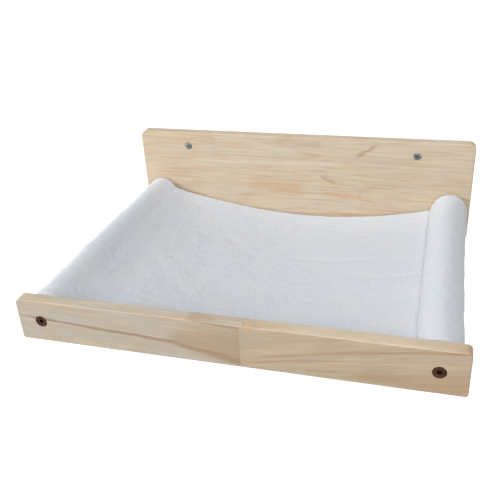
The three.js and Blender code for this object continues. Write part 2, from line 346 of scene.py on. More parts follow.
def addTints(tree, color, log, s):
    # Soft clouds of other pine colours
    for tint in s["tints"]:
        cloud = noiseValue(tree, scaled(tree, log, *tint["scales"]), 1, 3)
        show = between(tree, cloud, *tint["range"], 0, tint["show"] * s["tintShare"])
        color = blend(tree, show, color, tint["color"])
    return color


def addStreaks(tree, color, place, fibres, s):
    # The listed figures, broken up by the fibres
    figured = calc(tree, "MULTIPLY_ADD", fibres, s["streakFibre"], s["streakBase"])
    for streak in s["streaks"]:
        mask = placeGroup(
            tree,
            grainStreak,
            Place=place,
            FromX=streak["start"][0],
            FromZ=streak["start"][1],
            ToX=streak["end"][0],
            ToZ=streak["end"][1],
            FromWidth=streak["widths"][0],
            ToWidth=streak["widths"][1],
            Bend=streak["bend"],
            Stray=streak["stray"],
            EndFade=streak["endFade"],
        )["Mask"]
        shown = calc(tree, "MULTIPLY", calc(tree, "MULTIPLY", mask, figured), streak["show"], clamp=True)
        color = blend(tree, shown, color, streak["color"])
    return color


def woodRelief(tree, grain, glue, s):
    # Rings and fibres stand up, pores and lines of glue are sunk
    heights = s["heightShares"]
    fibres = calc(tree, "MULTIPLY", grain["Fibres"], heights["fibres"])
    raised = calc(tree, "MULTIPLY_ADD", grain["Rings"], heights["rings"], fibres)
    glued = calc(tree, "MULTIPLY", glue, heights["glue"])
    sunk = calc(tree, "MULTIPLY_ADD", grain["Pores"], heights["pores"], glued)
    return bump(tree, calc(tree, "SUBTRACT", raised, sunk), s["bump"], s["relief"])


def woodMaterial(name, s):
    material, tree, shader = newMaterial(name)
    place = objectPlace(tree)
    seed, jointed, seam = findLength(tree, place, s)
    log = logPlace(tree, place, seed, jointed["Side"], s)

    def chance(number):
        return randomValue(tree, calc(tree, "ADD", seed, number / s["chances"]))

    grain = placeGroup(
        tree,
        treeGrain,
        Place=log,
        RingWidth=between(tree, chance(1), 0, 1, *s["ringWidth"]),
        PithDepth=between(tree, chance(2), 0, 1, *s["pithDepth"]),
        PithHeight=between(tree, chance(3), 0, 1, *s["pithHeight"]),
        Waviness=s["waviness"],
    )
    # Where paintedSideShade is 1 the tone follows the jointed length, not chance: the left length takes
    # the pale colour and the right length the warm, darker one. This is painted shade for light that
    # falls off away from the left.
    sideShadeTone = calc(tree, "MULTIPLY", jointed["Side"], s["paintedSideShade"])
    tone = calc(tree, "MULTIPLY_ADD", chance(4), 1 - s["paintedSideShade"], sideShadeTone)
    color = blend(tree, tone, s["paleColor"], s["warmColor"])
    color = addTints(tree, color, log, s)
    color = blend(tree, calc(tree, "MULTIPLY", grain["Rings"], s["ringShow"]), color, s["ringColor"])
    fibre = between(tree, grain["Fibres"], *s["fibreRange"], 0, s["fibreShow"])
    color = blend(tree, fibre, color, s["ringColor"])
    color = addStreaks(tree, color, place, grain["Fibres"], s)
    color = blend(tree, calc(tree, "MULTIPLY", jointed["Line"], s["jointShow"]), color, s["jointColor"])
    color = blend(tree, seam, color, s["jointColor"])
    color = blend(tree, calc(tree, "MULTIPLY", grain["Pores"], s["poreShow"]), color, s["jointColor"])
    feed(tree, shader.inputs["Base Color"], color)
    rough = between(tree, grain["Fibres"], *s["roughRange"], *s["roughness"])
    feed(tree, shader.inputs["Roughness"], rough)
    feed(tree, shader.inputs["Normal"], woodRelief(tree, grain, jointed["Line"], s))
    shader.inputs["Specular IOR Level"].default_value = s["specular"]
    return material


darkFigure = srgb(160, 122, 86)
brownFigure = srgb(182, 142, 104)
oliveFigure = srgb(180, 152, 114)
amberFigure = srgb(220, 180, 132)
paleFigure = srgb(240, 228, 206)

pineTints = (  # soft stains: turns per metre in each direction, noise range, strength and colour
    {"scales": (22, 80, 80), "range": (0.48, 0.72), "show": 0.5, "color": srgb(224, 188, 150)},
    {"scales": (11, 55, 55), "range": (0.48, 0.75), "show": 0.5, "color": srgb(216, 194, 176)},
    {"scales": (14, 150, 150), "range": (0.48, 0.75), "show": 0.7, "color": srgb(236, 220, 184)},
    {"scales": (18, 260, 260), "range": (0.45, 0.75), "show": 0.6, "color": srgb(206, 174, 138)},
    {"scales": (26, 420, 420), "range": (0.5, 0.75), "show": 0.5, "color": srgb(236, 222, 200)},
)

# A streak starts and ends at a place in X and Z and has a width there. It bends and strays, its
# end fades over a share of its length, and it shows more or less.

backWood = {
    "seed": 11,
    "chances": 7,  # more than the random numbers that each length of pine takes
    "logStep": 7310 * mm,
    "topZ": 65 * mm,
    "staveHeight": 36 * mm,
    "jointX": (-118 * mm, 36 * mm, 86 * mm, -40 * mm),
    "fingerReach": 10 * mm,
    "fingerPitch": 4.4 * mm,
    "glueWidth": 1.1 * mm,
    "ringWidth": (3 * mm, 6 * mm),
    "pithDepth": (20 * mm, 70 * mm),
    "pithHeight": (-120 * mm, 120 * mm),
    "leans": (0.012, -0.01),
    "paintedSideShade": 0,
    "waviness": 9 * mm,
    "paleColor": srgb(228, 217, 197),
    "warmColor": srgb(225, 208, 183),
    "tints": pineTints,
    "tintShare": 1,
    "ringColor": srgb(196, 164, 128),
    "ringShow": 0.3,
    "fibreShow": 0.25,
    "fibreRange": (0.35, 0.72),
    "jointColor": srgb(160, 126, 90),
    "jointShow": 0.22,
    "seamWidth": 0.5 * mm,
    "seamCoreShare": 0.3,
    "seamShow": 0.15,
    "poreShow": 0.2,
    "roughness": (0.42, 0.58),
    "roughRange": (0.3, 0.8),  # of the fibres' noise
    "specular": 0.3,
    "relief": 0.12 * mm,
    "bump": 0.5,
    "heightShares": {"rings": 0.4, "fibres": 0.5, "pores": 0.6, "glue": 0.5},
    "streakBase": 0.45,  # how strongly a streak shows between the fibres
    "streakFibre": 0.9,  # and how much more on them
    "streaks": (
        {
            "start": (-80 * mm, -3 * mm), "end": (14 * mm, -8 * mm), "widths": (7 * mm, 11 * mm),
            "bend": 0, "stray": 12 * mm, "endFade": 0.2, "show": 0.5, "color": amberFigure,
        },
        {
            "start": (24 * mm, -11 * mm), "end": (86 * mm, -14.5 * mm), "widths": (2.6 * mm, 4 * mm),
            "bend": 0, "stray": 6 * mm, "endFade": 0.01, "show": 0.7, "color": amberFigure,
        },
        {
            "start": (84 * mm, 0.5 * mm), "end": (140 * mm, 1 * mm), "widths": (2.4 * mm, 1.2 * mm),
            "bend": 0, "stray": 5 * mm, "endFade": 0.3, "show": 0.35, "color": brownFigure,
        },
        {
            "start": (74 * mm, 40 * mm), "end": (108 * mm, 63 * mm), "widths": (3.4 * mm, 2.4 * mm),
            "bend": -1 * mm, "stray": 9 * mm, "endFade": 0.3, "show": 0.6, "color": brownFigure,
        },
        {
            "start": (27 * mm, 13 * mm), "end": (54 * mm, 3 * mm), "widths": (1.5 * mm, 3 * mm),
            "bend": 0, "stray": 8 * mm, "endFade": 0.3, "show": 0.5, "color": brownFigure,
        },
        {
            "start": (-160 * mm, 27 * mm), "end": (90 * mm, 31 * mm), "widths": (2.2 * mm, 2.8 * mm),
            "bend": -1 * mm, "stray": 5 * mm, "endFade": 0.2, "show": 0.7, "color": paleFigure,
        },
        {
            "start": (-36 * mm, 60 * mm), "end": (44 * mm, 57 * mm), "widths": (6 * mm, 6 * mm),
            "bend": 0, "stray": 20 * mm, "endFade": 0.3, "show": 0.3, "color": brownFigure,
        },
    ),
}

frontWood = {
    **backWood,
    "seed": 40,
    "topZ": 10 * mm,
    "staveHeight": 70 * mm,
    "jointX": (14 * mm,),
    "ringWidth": (4 * mm, 7 * mm),
    "pithDepth": (-330 * mm, -300 * mm),
    "pithHeight": (-70 * mm, 60 * mm),
    "leans": (-0.05, 0.17),
    # painted shade: the left length pale, the right length warmer and darker, for light falling off away
    # from the left
    "paintedSideShade": 1,
    "waviness": 10 * mm,
    # Painted shade: the same pine as the back board, given darker colours because the front board gets
    # less light
    "paleColor": srgb(203, 197, 184),
    "warmColor": srgb(203, 186, 161),
    "tintShare": 0.75,
    "jointShow": 0.3,
    "seamShow": 0,
    "streaks": (
        {
            "start": (-240 * mm, -19.5 * mm), "end": (-44 * mm, -30 * mm), "widths": (1.7 * mm, 2.4 * mm),
            "bend": -0.5 * mm, "stray": 7 * mm, "endFade": 0.05, "show": 0.68, "color": darkFigure,
        },
        {
            "start": (-66 * mm, -25 * mm), "end": (15.6 * mm, -25 * mm), "widths": (8 * mm, 22 * mm),
            "bend": 0, "stray": 14 * mm, "endFade": 0.01, "show": 0.6, "color": oliveFigure,
        },
        {
            "start": (-62 * mm, -30 * mm), "end": (15.6 * mm, -43 * mm), "widths": (2 * mm, 5 * mm),
            "bend": 0, "stray": 6 * mm, "endFade": 0.01, "show": 0.6, "color": darkFigure,
        },
        {
            "start": (-44 * mm, -1.6 * mm), "end": (15.6 * mm, -5 * mm), "widths": (0.8 * mm, 2 * mm),
            "bend": 0, "stray": 2 * mm, "endFade": 0.01, "show": 0.55, "color": brownFigure,
        },
        {
            "start": (8 * mm, -42 * mm), "end": (232 * mm, -2 * mm), "widths": (2.2 * mm, 1.6 * mm),
            "bend": 5 * mm, "stray": 4 * mm, "endFade": 0.05, "show": 0.6, "color": brownFigure,
        },
        {
            "start": (8 * mm, -46 * mm), "end": (136 * mm, -25 * mm), "widths": (1.4 * mm, 1.2 * mm),
            "bend": 2 * mm, "stray": 4 * mm, "endFade": 0.3, "show": 0.5, "color": brownFigure,
        },
        {
            "start": (72 * mm, -46 * mm), "end": (116 * mm, -39 * mm), "widths": (1.2 * mm, 1.7 * mm),
            "bend": 1 * mm, "stray": 3 * mm, "endFade": 0.3, "show": 0.55, "color": brownFigure,
        },
        {
            "start": (30 * mm, -1 * mm), "end": (224 * mm, -1 * mm), "widths": (1.8 * mm, 1.8 * mm),
            "bend": 0, "stray": 1 * mm, "endFade": 0.25, "show": 0.5, "color": paleFigure,
        },
        {
            "start": (104 * mm, -43 * mm), "end": (238 * mm, -38 * mm), "widths": (4 * mm, 13 * mm),
            "bend": 0, "stray": 9 * mm, "endFade": 0.05, "show": 0.48, "color": brownFigure,
        },
    ),
}

dowelWood = {
    **backWood,
    "seed": 70,
    "topZ": 1000 * mm,  # one length of pine, far larger than a dowel, so that no joint shows
    "staveHeight": 2000 * mm,
    "jointX": (1000 * mm,),
    "streaks": (),
    "seamShow": 0,
}

backPine = woodMaterial("backPine", backWood)
frontPine = woodMaterial("frontPine", frontWood)
dowelPine = woodMaterial("dowelPine", dowelWood)
print("wood materials built")


# Metals

def metalMaterial(name, s):
    material, tree, shader = newMaterial(name)
    place = objectPlace(tree)
    smear = noiseValue(tree, place, s["smearScale"], 3)
    speck = noiseValue(tree, place, s["speckScale"], 4, 0.7)
    color = blend(tree, between(tree, smear, *s["smearRange"]), s["color"], s["otherColor"])
    worn = between(tree, speck, *s["wearRange"], 0, s["wear"])
    color = blend(tree, worn, color, s["wornColor"])
    feed(tree, shader.inputs["Base Color"], color)
    shader.inputs["Metallic"].default_value = s["metallic"]
    feed(tree, shader.inputs["Roughness"], between(tree, speck, *s["roughRange"], *s["roughness"]))
    feed(tree, shader.inputs["Normal"], bump(tree, speck, s["bump"], s["relief"]))
    return material


metalNoise = {  # where each noise starts and stops to show
    "smearRange": (0.4, 0.7),
    "wearRange": (0.6, 0.72),
    "roughRange": (0.3, 0.7),
    "bump": 0.3,
}

bronzedLook = {
    **metalNoise,
    "color": srgb(52, 33, 20),
    "otherColor": srgb(82, 50, 29),
    "wornColor": srgb(132, 92, 60),
    "wear": 0.5,
    "metallic": 0.85,
    "roughness": (0.3, 0.5),
    "smearScale": 300,
    "speckScale": 1400,
    "relief": 0.04 * mm,
}

zincLook = {
    **metalNoise,
    "color": srgb(158, 164, 162),
    "otherColor": srgb(118, 126, 124),
    "wornColor": srgb(70, 72, 70),
    "wear": 0.4,
    "metallic": 1,
    "roughness": (0.22, 0.42),
    "smearScale": 260,
    "speckScale": 1200,
    "relief": 0.03 * mm,
}

bronzedSteel = metalMaterial("bronzedSteel", bronzedLook)
zincSteel = metalMaterial("zincSteel", zincLook)
print("metal materials built")


# Plush

def plushMaterial(name, s):
    material, tree, shader = newMaterial(name)
    place = objectPlace(tree)
    clump = noiseValue(tree, place, s["clumpScale"], 3, 0.6)
    strand = noiseValue(tree, place, s["strandScale"], 3, 0.7)
    patch = noiseValue(tree, place, s["patchScale"], 2)
    color = blend(tree, between(tree, patch, *s["patchRange"]), s["coolColor"], s["warmColor"])
    # Painted shade: the colour darkens where the tufts are low, in the hollows of the pile
    for tuft in (clump, strand):
        deep = between(tree, tuft, *s["hollowShadeRange"], s["hollowShadeShow"], 0)
        color = blend(tree, deep, color, s["hollowShadeColor"])
    feed(tree, shader.inputs["Base Color"], color)
    shader.inputs["Diffuse Roughness"].default_value = s["diffuseRoughness"]
    shader.inputs["Roughness"].default_value = s["roughness"]
    shader.inputs["Specular IOR Level"].default_value = s["specular"]
    shader.inputs["Sheen Weight"].default_value = s["sheen"]
    shader.inputs["Sheen Roughness"].default_value = s["sheenRoughness"]
    strands = calc(tree, "MULTIPLY", strand, s["strandHeight"])
    height = calc(tree, "MULTIPLY_ADD", clump, s["clumpHeight"], strands)
    feed(tree, shader.inputs["Normal"], bump(tree, height, s["bump"], s["relief"]))
    return material


plushLook = {
    "coolColor": srgb(219, 225, 233),
    "warmColor": srgb(222, 225, 230),
    # painted shade in the hollows between the tufts
    "hollowShadeColor": srgb(205, 209, 216),
    "hollowShadeShow": 0.35,
    "hollowShadeRange": (0.3, 0.6),
    "patchRange": (0.35, 0.7),
    "clumpScale": 340,
    "strandScale": 1500,
    "patchScale": 24,
    "clumpHeight": 1.4,
    "strandHeight": 0.7,
    "diffuseRoughness": 0.4,
    "roughness": 0.95,
    "specular": 0.1,
    "sheen": 0.25,
    "sheenRoughness": 0.45,
    "bump": 0.6,
    "relief": 0.35 * mm,
}

threadLook = {
    **plushLook,
    "clumpScale": 2500,
    "strandScale": 6000,
    "relief": 0.1 * mm,
    "hollowShadeShow": 0.6,
    "sheen": 0.1,
}

plush = plushMaterial("plush", plushLook)
thread = plushMaterial("thread", threadLook)
print("plush materials built")


# Mesh helpers

def addObject(name, mesh, material):
    piece = bpy.data.objects.new(name, mesh)
    bpy.context.scene.collection.objects.link(piece)
    mesh.materials.append(material)
    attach(piece, "root")
    return piece


def meshFrom(name, points, faces, smooth=True):
    mesh = bpy.data.meshes.new(name)
    mesh.from_pydata([tuple(p) for p in points], [], faces)
    mesh.update()
    mesh.polygons.foreach_set("use_smooth", [smooth] * len(mesh.polygons))
    return mesh


def gridMesh(name, points, faces):
    # The same for many points, from arrays
    mesh = bpy.data.meshes.new(name)
    mesh.vertices.add(len(points))
    mesh.vertices.foreach_set("co", points.astype(np.float32).ravel())
    mesh.loops.add(faces.size)
    mesh.loops.foreach_set("vertex_index", faces.astype(np.int32).ravel())
    mesh.polygons.add(len(faces))
    sides = faces.shape[1]
    mesh.polygons.foreach_set("loop_start", np.arange(len(faces), dtype=np.int32) * sides)
    mesh.polygons.foreach_set("use_smooth", np.ones(len(faces), dtype=bool))
    mesh.update(calc_edges=True)
    mesh.validate()
    return mesh


def patchFaces(index):
    # Four-sided faces between the neighbours in a table of point numbers
    corners = (index[:-1, :-1], index[:-1, 1:], index[1:, 1:], index[1:, :-1])
    return np.stack(corners, axis=-1).reshape(-1, 4)


def sharpen(mesh, degrees):
    # Edges that turn by more than this stay sharp under smooth shading
    shape = bmesh.new()
    shape.from_mesh(mesh)
    limit = math.radians(degrees)
    for edge in shape.edges:
        if len(edge.link_faces) == 2:
            edge.smooth = edge.calc_face_angle(0) < limit
    for face in shape.faces:
        face.smooth = True
    shape.to_mesh(mesh)
    shape.free()


def turnedMesh(name, profile, sides):
    # A closed turned piece about Y from (radius, y) pairs that rise along y on the outside
    points = []
    rings = []
    for radius, y in profile:
        if radius == 0:
            rings.append([len(points)])
            points.append((0, y, 0))
            continue
        rings.append(list(range(len(points), len(points) + sides)))
        for i in range(sides):
            angle = 2 * math.pi * i / sides
            points.append((radius * math.cos(angle), y, radius * math.sin(angle)))
    faces = []
    for low, high in zip(rings, rings[1:]):
        for i in range(sides):
            k = (i + 1) % sides
            corners = [low[i % len(low)], high[i % len(high)], high[k % len(high)], low[k % len(low)]]
            corners = list(dict.fromkeys(corners))
            if len(corners) > 2:
                faces.append(corners)
    return meshFrom(name, points, faces)


def cut(mesh, cutters):
    # Takes the cutter meshes out of a mesh
    scene = bpy.context.scene.collection
    blank = bpy.data.objects.new("blank", mesh)
    scene.objects.link(blank)
    tools = []
    for cutter in cutters:
        tool = bpy.data.objects.new("tool", cutter)
        scene.objects.link(tool)
        change = blank.modifiers.new("cut", "BOOLEAN")
        change.operation = "DIFFERENCE"
        change.solver = "EXACT"
        change.object = tool
        tools.append(tool)
    bpy.context.view_layer.update()
    seen = blank.evaluated_get(bpy.context.evaluated_depsgraph_get())
    done = bpy.data.meshes.new_from_object(seen)
    for item in [blank, *tools]:
        bpy.data.objects.remove(item)
    return done


def moved(mesh, place=(0, 0, 0), halfTurn=False):
    if halfTurn:
        mesh.transform(Matrix.Rotation(math.pi, 4, "Z"))
    mesh.transform(Matrix.Translation(place))
    return mesh


def evenNormals(piece):
    # Large flat faces keep their flat shading beside small roundings
    change = piece.modifiers.new("evenNormals", "WEIGHTED_NORMAL")
    change.keep_sharp = True
    change.weight = 100


# Boards

boards = {
    "rounding": 1.5 * mm,
    "roundingSteps": 5,
    "cornerSteps": 14,
    "cornerRadii": {"back_board": (8 * mm, 8 * mm), "front_board": (5 * mm, 3 * mm)},
    "fitGap": 0.3 * mm,
    "overrun": 1 * mm,
    "sharpAngle": 40,
}

bolts = {
    "diameter": 6 * mm,
    "head": 12.5 * mm,
    "rim": 0.7 * mm,
    "rimSoftShare": 0.35,  # of the rim, rounded off towards the face
    "rimBevelShare": 0.3,  # of that rounding, at its middle
    "sink": 0.3 * mm,
    "length": 34 * mm,
    "pointChamfer": 0.8 * mm,
    "socketSides": 6,
    "socketAcross": 4 * mm,
    "socketDepth": 2.6 * mm,
    "socketLead": 0.35 * mm,
    "leadShare": 0.4,  # of the lead, that its cone goes inside the socket
    "pitch": 1 * mm,
    "threadDepth": 0.55 * mm,
    "plain": 14 * mm,
    "sides": 48,
}

screws = {
    "diameter": 4.5 * mm,
    "head": 9.6 * mm,
    "rim": 0.6 * mm,
    "rimSoftShare": 0.35,
    "rimBevelShare": 0.3,
    "sink": 0.6 * mm,
    "length": 44.4 * mm,
    "recess": 5.4 * mm,
    "recessWidth": 1.3 * mm,
    "recessDepth": 2.2 * mm,
    "recessTurn": 20,
    "recessTop": {"heightShare": -0.5, "sizeShare": 1.12},  # over the head's face
    "recessFloor": {"heightShare": 1, "sizeShare": 0.45},
    "recessWidthShare": 0.25,
    "pitch": 2 * mm,
    "threadDepth": 0.7 * mm,
    "plain": 15 * mm,
    "point": 7 * mm,
    "tipShare": 0.18,
    "sides": 48,
}


def roundedOutline(low, high, topRadius, bottomRadius, inset, steps):
    # Points in X and Z round a board, anticlockwise as seen from its front
    points = []
    corners = (
        (high.x, low.z, bottomRadius, -1, 1, -90),
        (high.x, high.z, topRadius, -1, -1, 0),
        (low.x, high.z, topRadius, 1, -1, 90),
        (low.x, low.z, bottomRadius, 1, 1, 180),
    )
    for x, z, radius, towardsX, towardsZ, start in corners:
        middleX = x + towardsX * radius
        middleZ = z + towardsZ * radius
        for i in range(steps + 1):
            angle = math.radians(start + 90 * i / steps)
            reach = radius - inset
            points.append((middleX + reach * math.cos(angle), middleZ + reach * math.sin(angle)))
    return points


def boardBlank(name, low, high, s):
    topRadius, bottomRadius = s["cornerRadii"][name]
    rounding = s["rounding"]
    stations = []
    for i in range(s["roundingSteps"] + 1):
        turn = math.pi / 2 * i / s["roundingSteps"]
        stations.append((rounding * (1 - math.sin(turn)), rounding * (1 - math.cos(turn))))
    depth = high.y - low.y
    stations += [(inset, depth - fromFace) for inset, fromFace in reversed(stations)]
    points = []
    for inset, fromFront in stations:
        outline = roundedOutline(low, high, topRadius, bottomRadius, inset, s["cornerSteps"])
        points += [(x, low.y + fromFront, z) for x, z in outline]
    count = len(points) // len(stations)
    faces = [list(range(count))]
    faces.append([len(points) - 1 - i for i in range(count)])
    for j in range(len(stations) - 1):
        for i in range(count):
            k = (i + 1) % count
            faces.append([j * count + i, (j + 1) * count + i, (j + 1) * count + k, j * count + k])
    return meshFrom(name, points, faces)


def countersink(fastener, s, depth):
    shank = fastener["diameter"] / 2 + s["fitGap"]
    head = fastener["head"] / 2 + s["fitGap"]
    straight = fastener["sink"] + fastener["rim"] + s["fitGap"]
    return turnedMesh(
        "countersink",
        [
            (0, -s["overrun"]),
            (head, -s["overrun"]),
            (head, straight),
            (shank, straight + head - shank),
            (shank, depth + s["overrun"]),
            (0, depth + s["overrun"]),
        ],
        fastener["sides"],
    )


def middleOf(node):
    low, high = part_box(node)
    return (low + high) / 2


def makeBoard(name, holes, material, s):
    # A cutter turned by half about Z sinks towards -Y, as the rear bolts do
    low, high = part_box(name)
    depth = high.y - low.y
    cutters = []
    for fastener, node, fromRear in holes:
        at = middleOf(node)
        face = high.y if fromRear else low.y
        cutters.append(moved(countersink(fastener, s, depth), (at.x, face, at.z), halfTurn=fromRear))
    mesh = cut(boardBlank(name, low, high, s), cutters)
    sharpen(mesh, s["sharpAngle"])
    piece = addObject(name + "_dressed", mesh, material)
    evenNormals(piece)
    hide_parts(name)


backHoles = (
    (bolts, "left_rear_bolt", True),
    (bolts, "right_rear_bolt", True),
    (screws, "left_wall_screw", False),
    (screws, "right_wall_screw", False),
)
frontHoles = (
    (bolts, "left_front_bolt", False),
    (bolts, "right_front_bolt", False),
)
makeBoard("back_board", backHoles, backPine, boards)
makeBoard("front_board", frontHoles, frontPine, boards)
print("boards made")


# Dowels

dowels = {
    "chamfer": 1.2 * mm,
    "sides": 72,
    "boreRadius": 5.3 * mm,
    "boreDepth": 20.6 * mm,
    "sharpAngle": 30,
}


def makeDowel(name, s):
    low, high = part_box(name)
    half = (high.y - low.y) / 2
    radius = (high.z - low.z) / 2
    bore = s["boreRadius"]
    profile = [
        (0, s["boreDepth"] - half),
        (bore, s["boreDepth"] - half),
        (bore, -half),
        (radius - s["chamfer"], -half),
        (radius, s["chamfer"] - half),
        (radius, half - s["chamfer"]),
        (radius - s["chamfer"], half),
        (bore, half),
        (bore, half - s["boreDepth"]),
        (0, half - s["boreDepth"]),
    ]
    mesh = moved(turnedMesh(name, profile, s["sides"]), middleOf(name))
    sharpen(mesh, s["sharpAngle"])
    piece = addObject(name + "_dressed", mesh, dowelPine)
    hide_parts(name)


for side in ("left", "right"):
    makeDowel(side + "_dowel", dowels)
print("dowels made")


# Fasteners

threads = {
    "perTurn": 24,
    "perPitch": 8,
    "flank": 3.2,  # how steeply a ridge falls, in its own heights per pitch
    "endShare": 0.15,  # of a ridge, left at the point
    "coreShare": 0.12,  # the least radius, of the outer one
    "overlapShare": 0.5,  # of the pitch, that the thread runs into the plain shank
    "headSharpAngle": 30,
    "sharpAngle": 60,
}


def threadedShank(name, s, radiusAt, fromY, toY):
    # A shank with a helical ridge; radiusAt gives its outer radius along y
    perTurn = threads["perTurn"]
    rows = int((toY - fromY) / s["pitch"] * threads["perPitch"]) + 1
    points = []
    for j in range(rows + 1):
        y = fromY + (toY - fromY) * j / rows
        for i in range(perTurn):
            angle = 2 * math.pi * i / perTurn
            phase = (y / s["pitch"] + i / perTurn) % 1
            ridge = max(0, 1 - abs(phase - 0.5) * threads["flank"])
            outer = radiusAt(y, s)
            fade = min(1, (y - fromY) / s["pitch"], (toY - y) / s["pitch"] + threads["endShare"])
            radius = outer - s["threadDepth"] * (1 - ridge * fade)
            radius = max(radius, threads["coreShare"] * outer)
            points.append((radius * math.cos(angle), y, radius * math.sin(angle)))
    faces = [list(range(perTurn))]
    for j in range(rows):
        low = j * perTurn
        high = low + perTurn
        for i in range(perTurn):
            k = (i + 1) % perTurn
            faces.append([low + i, high + i, high + k, low + k])
    last = rows * perTurn
    faces.append([last + perTurn - 1 - i for i in range(perTurn)])
    return meshFrom(name, points, faces)


def joined(name, meshes):
    # Several meshes in one
    shape = bmesh.new()
    for mesh in meshes:
        shape.from_mesh(mesh)
    together = bpy.data.meshes.new(name)
    shape.to_mesh(together)
    shape.free()
    return together


def headBlank(name, s):
    # The countersunk head and the plain start of the shank, with the head's face at y = 0
    head = s["head"] / 2
    shank = s["diameter"] / 2
    soft = s["rim"] * s["rimSoftShare"]
    bevel = soft * s["rimBevelShare"]
    return turnedMesh(
        name,
        [
            (0, 0),
            (head - soft, 0),
            (head - bevel, bevel),
            (head, soft),
            (head, s["rim"]),
            (shank, s["rim"] + head - shank),
            (shank, s["plain"]),
            (0, s["plain"]),
        ],
        s["sides"],
    )


def socketCutters(s):
    # A hexagonal socket with a small lead-in
    radius = s["socketAcross"] / math.sqrt(3)
    lead = s["socketLead"]
    deep = s["socketDepth"]
    prism = [(0, -lead), (radius, -lead), (radius, deep), (0, deep + lead)]
    tip = radius - lead * s["leadShare"]
    cone = [(0, -lead), (radius + lead, -lead), (tip, lead), (0, lead)]
    return [turnedMesh("lead", cone, s["sides"]), turnedMesh("socket", prism, s["socketSides"])]


def crossCutters(s):
    # Two crossed slots that narrow towards their floor
    cutters = []
    long = s["recess"] / 2
    wide = s["recessWidth"] / 2
    for turn in (0, 90):
        corners = []
        for level in (s["recessTop"], s["recessFloor"]):
            y = s["recessDepth"] * level["heightShare"]
            halfLong = long * level["sizeShare"]
            halfWide = wide * (level["sizeShare"] + s["recessWidthShare"])
            for x, z in ((-1, -1), (1, -1), (1, 1), (-1, 1)):
                corners.append((x * halfLong, y, z * halfWide))
        faces = [[0, 1, 2, 3], [7, 6, 5, 4], [0, 4, 5, 1], [1, 5, 6, 2], [2, 6, 7, 3], [3, 7, 4, 0]]
        mesh = meshFrom("recess", corners, faces, smooth=False)
        mesh.transform(Matrix.Rotation(math.radians(turn + s["recessTurn"]), 4, "Y"))
        cutters.append(mesh)
    return cutters


def makeFastener(node, s, cutters, radiusAt, material, isRear):
    head = cut(headBlank(node, s), cutters)
    sharpen(head, threads["headSharpAngle"])
    begin = s["plain"] - s["pitch"] * threads["overlapShare"]
    shank = threadedShank("shank", s, radiusAt, begin, s["length"])
    sharpen(shank, threads["sharpAngle"])
    mesh = joined(node, [head, shank])
    low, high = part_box(node)
    at = middleOf(node)
    moved(mesh, (at.x, high.y if isRear else low.y, at.z), halfTurn=isRear)
    piece = addObject(node + "_dressed", mesh, material)
    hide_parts(node)


def boltRadius(y, s):
    full = s["diameter"] / 2
    return min(full, full - s["pointChamfer"] + s["length"] - y)


def screwRadius(y, s):
    full = s["diameter"] / 2
    return full * min(1, s["tipShare"] + (1 - s["tipShare"]) * (s["length"] - y) / s["point"])


for side in ("left", "right"):
    for end in ("front", "rear"):
        bolt = f"{side}_{end}_bolt"
        cutters = socketCutters(bolts)
        makeFastener(bolt, bolts, cutters, boltRadius, bronzedSteel, end == "rear")
        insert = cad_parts[f"{side}_{end}_insert"]
        for holder in insert.material_slots:
            holder.link = "OBJECT"
            holder.material = zincSteel
    screw = side + "_wall_screw"
    makeFastener(screw, screws, crossCutters(screws), screwRadius, zincSteel, False)
print("fasteners made")


# Soft surfaces

def steadyNoise(points, cell, seed):
    # Smooth noise from -1 to 1 at points given as an n by 3 array; large odd numbers mix each cell
    placed = points / cell
    base = np.floor(placed).astype(np.int64)
    part = placed - base
    ease = part * part * (3 - 2 * part)
    total = np.zeros(len(points))
    for corner in range(8):
        step = np.array([(corner >> k) & 1 for k in range(3)])
        spot = (base + step).astype(np.uint64)
        mix = spot[:, 0] * np.uint64(73856093)
        mix = mix ^ (spot[:, 1] * np.uint64(19349663)) ^ (spot[:, 2] * np.uint64(83492791))
        mix = (mix + np.uint64(seed)) * np.uint64(2654435761)
        mix = (mix ^ (mix >> np.uint64(15))) * np.uint64(2246822519)
        value = ((mix >> np.uint64(16)) & np.uint64(65535)).astype(float) / 32767.5 - 1
        total += value * np.prod(np.where(step == 1, ease, 1 - ease), axis=1)
    return total


def smoothStep(value):
    held = np.clip(value, 0, 1)
    return held * held * (3 - 2 * held)


def roundShare(distance, reach):
    # A quarter circle from 0 at an edge to 1 at its reach
    return np.sqrt(np.clip(1 - (1 - np.minimum(distance / reach, 1)) ** 2, 0, 1))


def surfaceNormals(surface):
    # Unit normals of a table of points, along its columns first and its rows second
    across = np.gradient(surface, axis=1)
    along = np.gradient(surface, axis=0)
    normal = np.cross(across, along)
    return normal / np.maximum(np.linalg.norm(normal, axis=-1, keepdims=True), 1e-12)


pile = {
    "layers": (  # the size of the tufts of each roughness, and how far they stand out
        {"cell": 38 * mm, "height": 0.7 * mm, "seed": 3},
        {"cell": 13 * mm, "height": 0.45 * mm, "seed": 5},
        {"cell": 5 * mm, "height": 0.28 * mm, "seed": 7},
        {"cell": 2.6 * mm, "height": 0.22 * mm, "seed": 9},
    ),
    "edgeShare": 0.35,  # of its height, at the very edge of a cloth
}

rolls = {
    "bore": 14.6 * mm,
    "radius": 21.5 * mm,
    "puff": 2 * mm,
    "slack": 2.5 * mm,
    "lip": 1.5 * mm,
    "lipAbove": 2.1 * mm,
    "lipHalfHeight": 6 * mm,
    "outerPuff": {"left": 1.8 * mm, "right": -0.6 * mm},
    "flare": {"left": 0, "right": 3 * mm},  # how far the rear end opens out, away from the seat
    "flareLength": 100 * mm,
    "around": 120,
    "step": 1.5 * mm,
    "edgeRounding": 2.6 * mm,
    "pucker": 0.5 * mm,
    "puckerCell": 16 * mm,
    "puckerStretchShare": 0.35,
    "puckerSeed": 13,
}

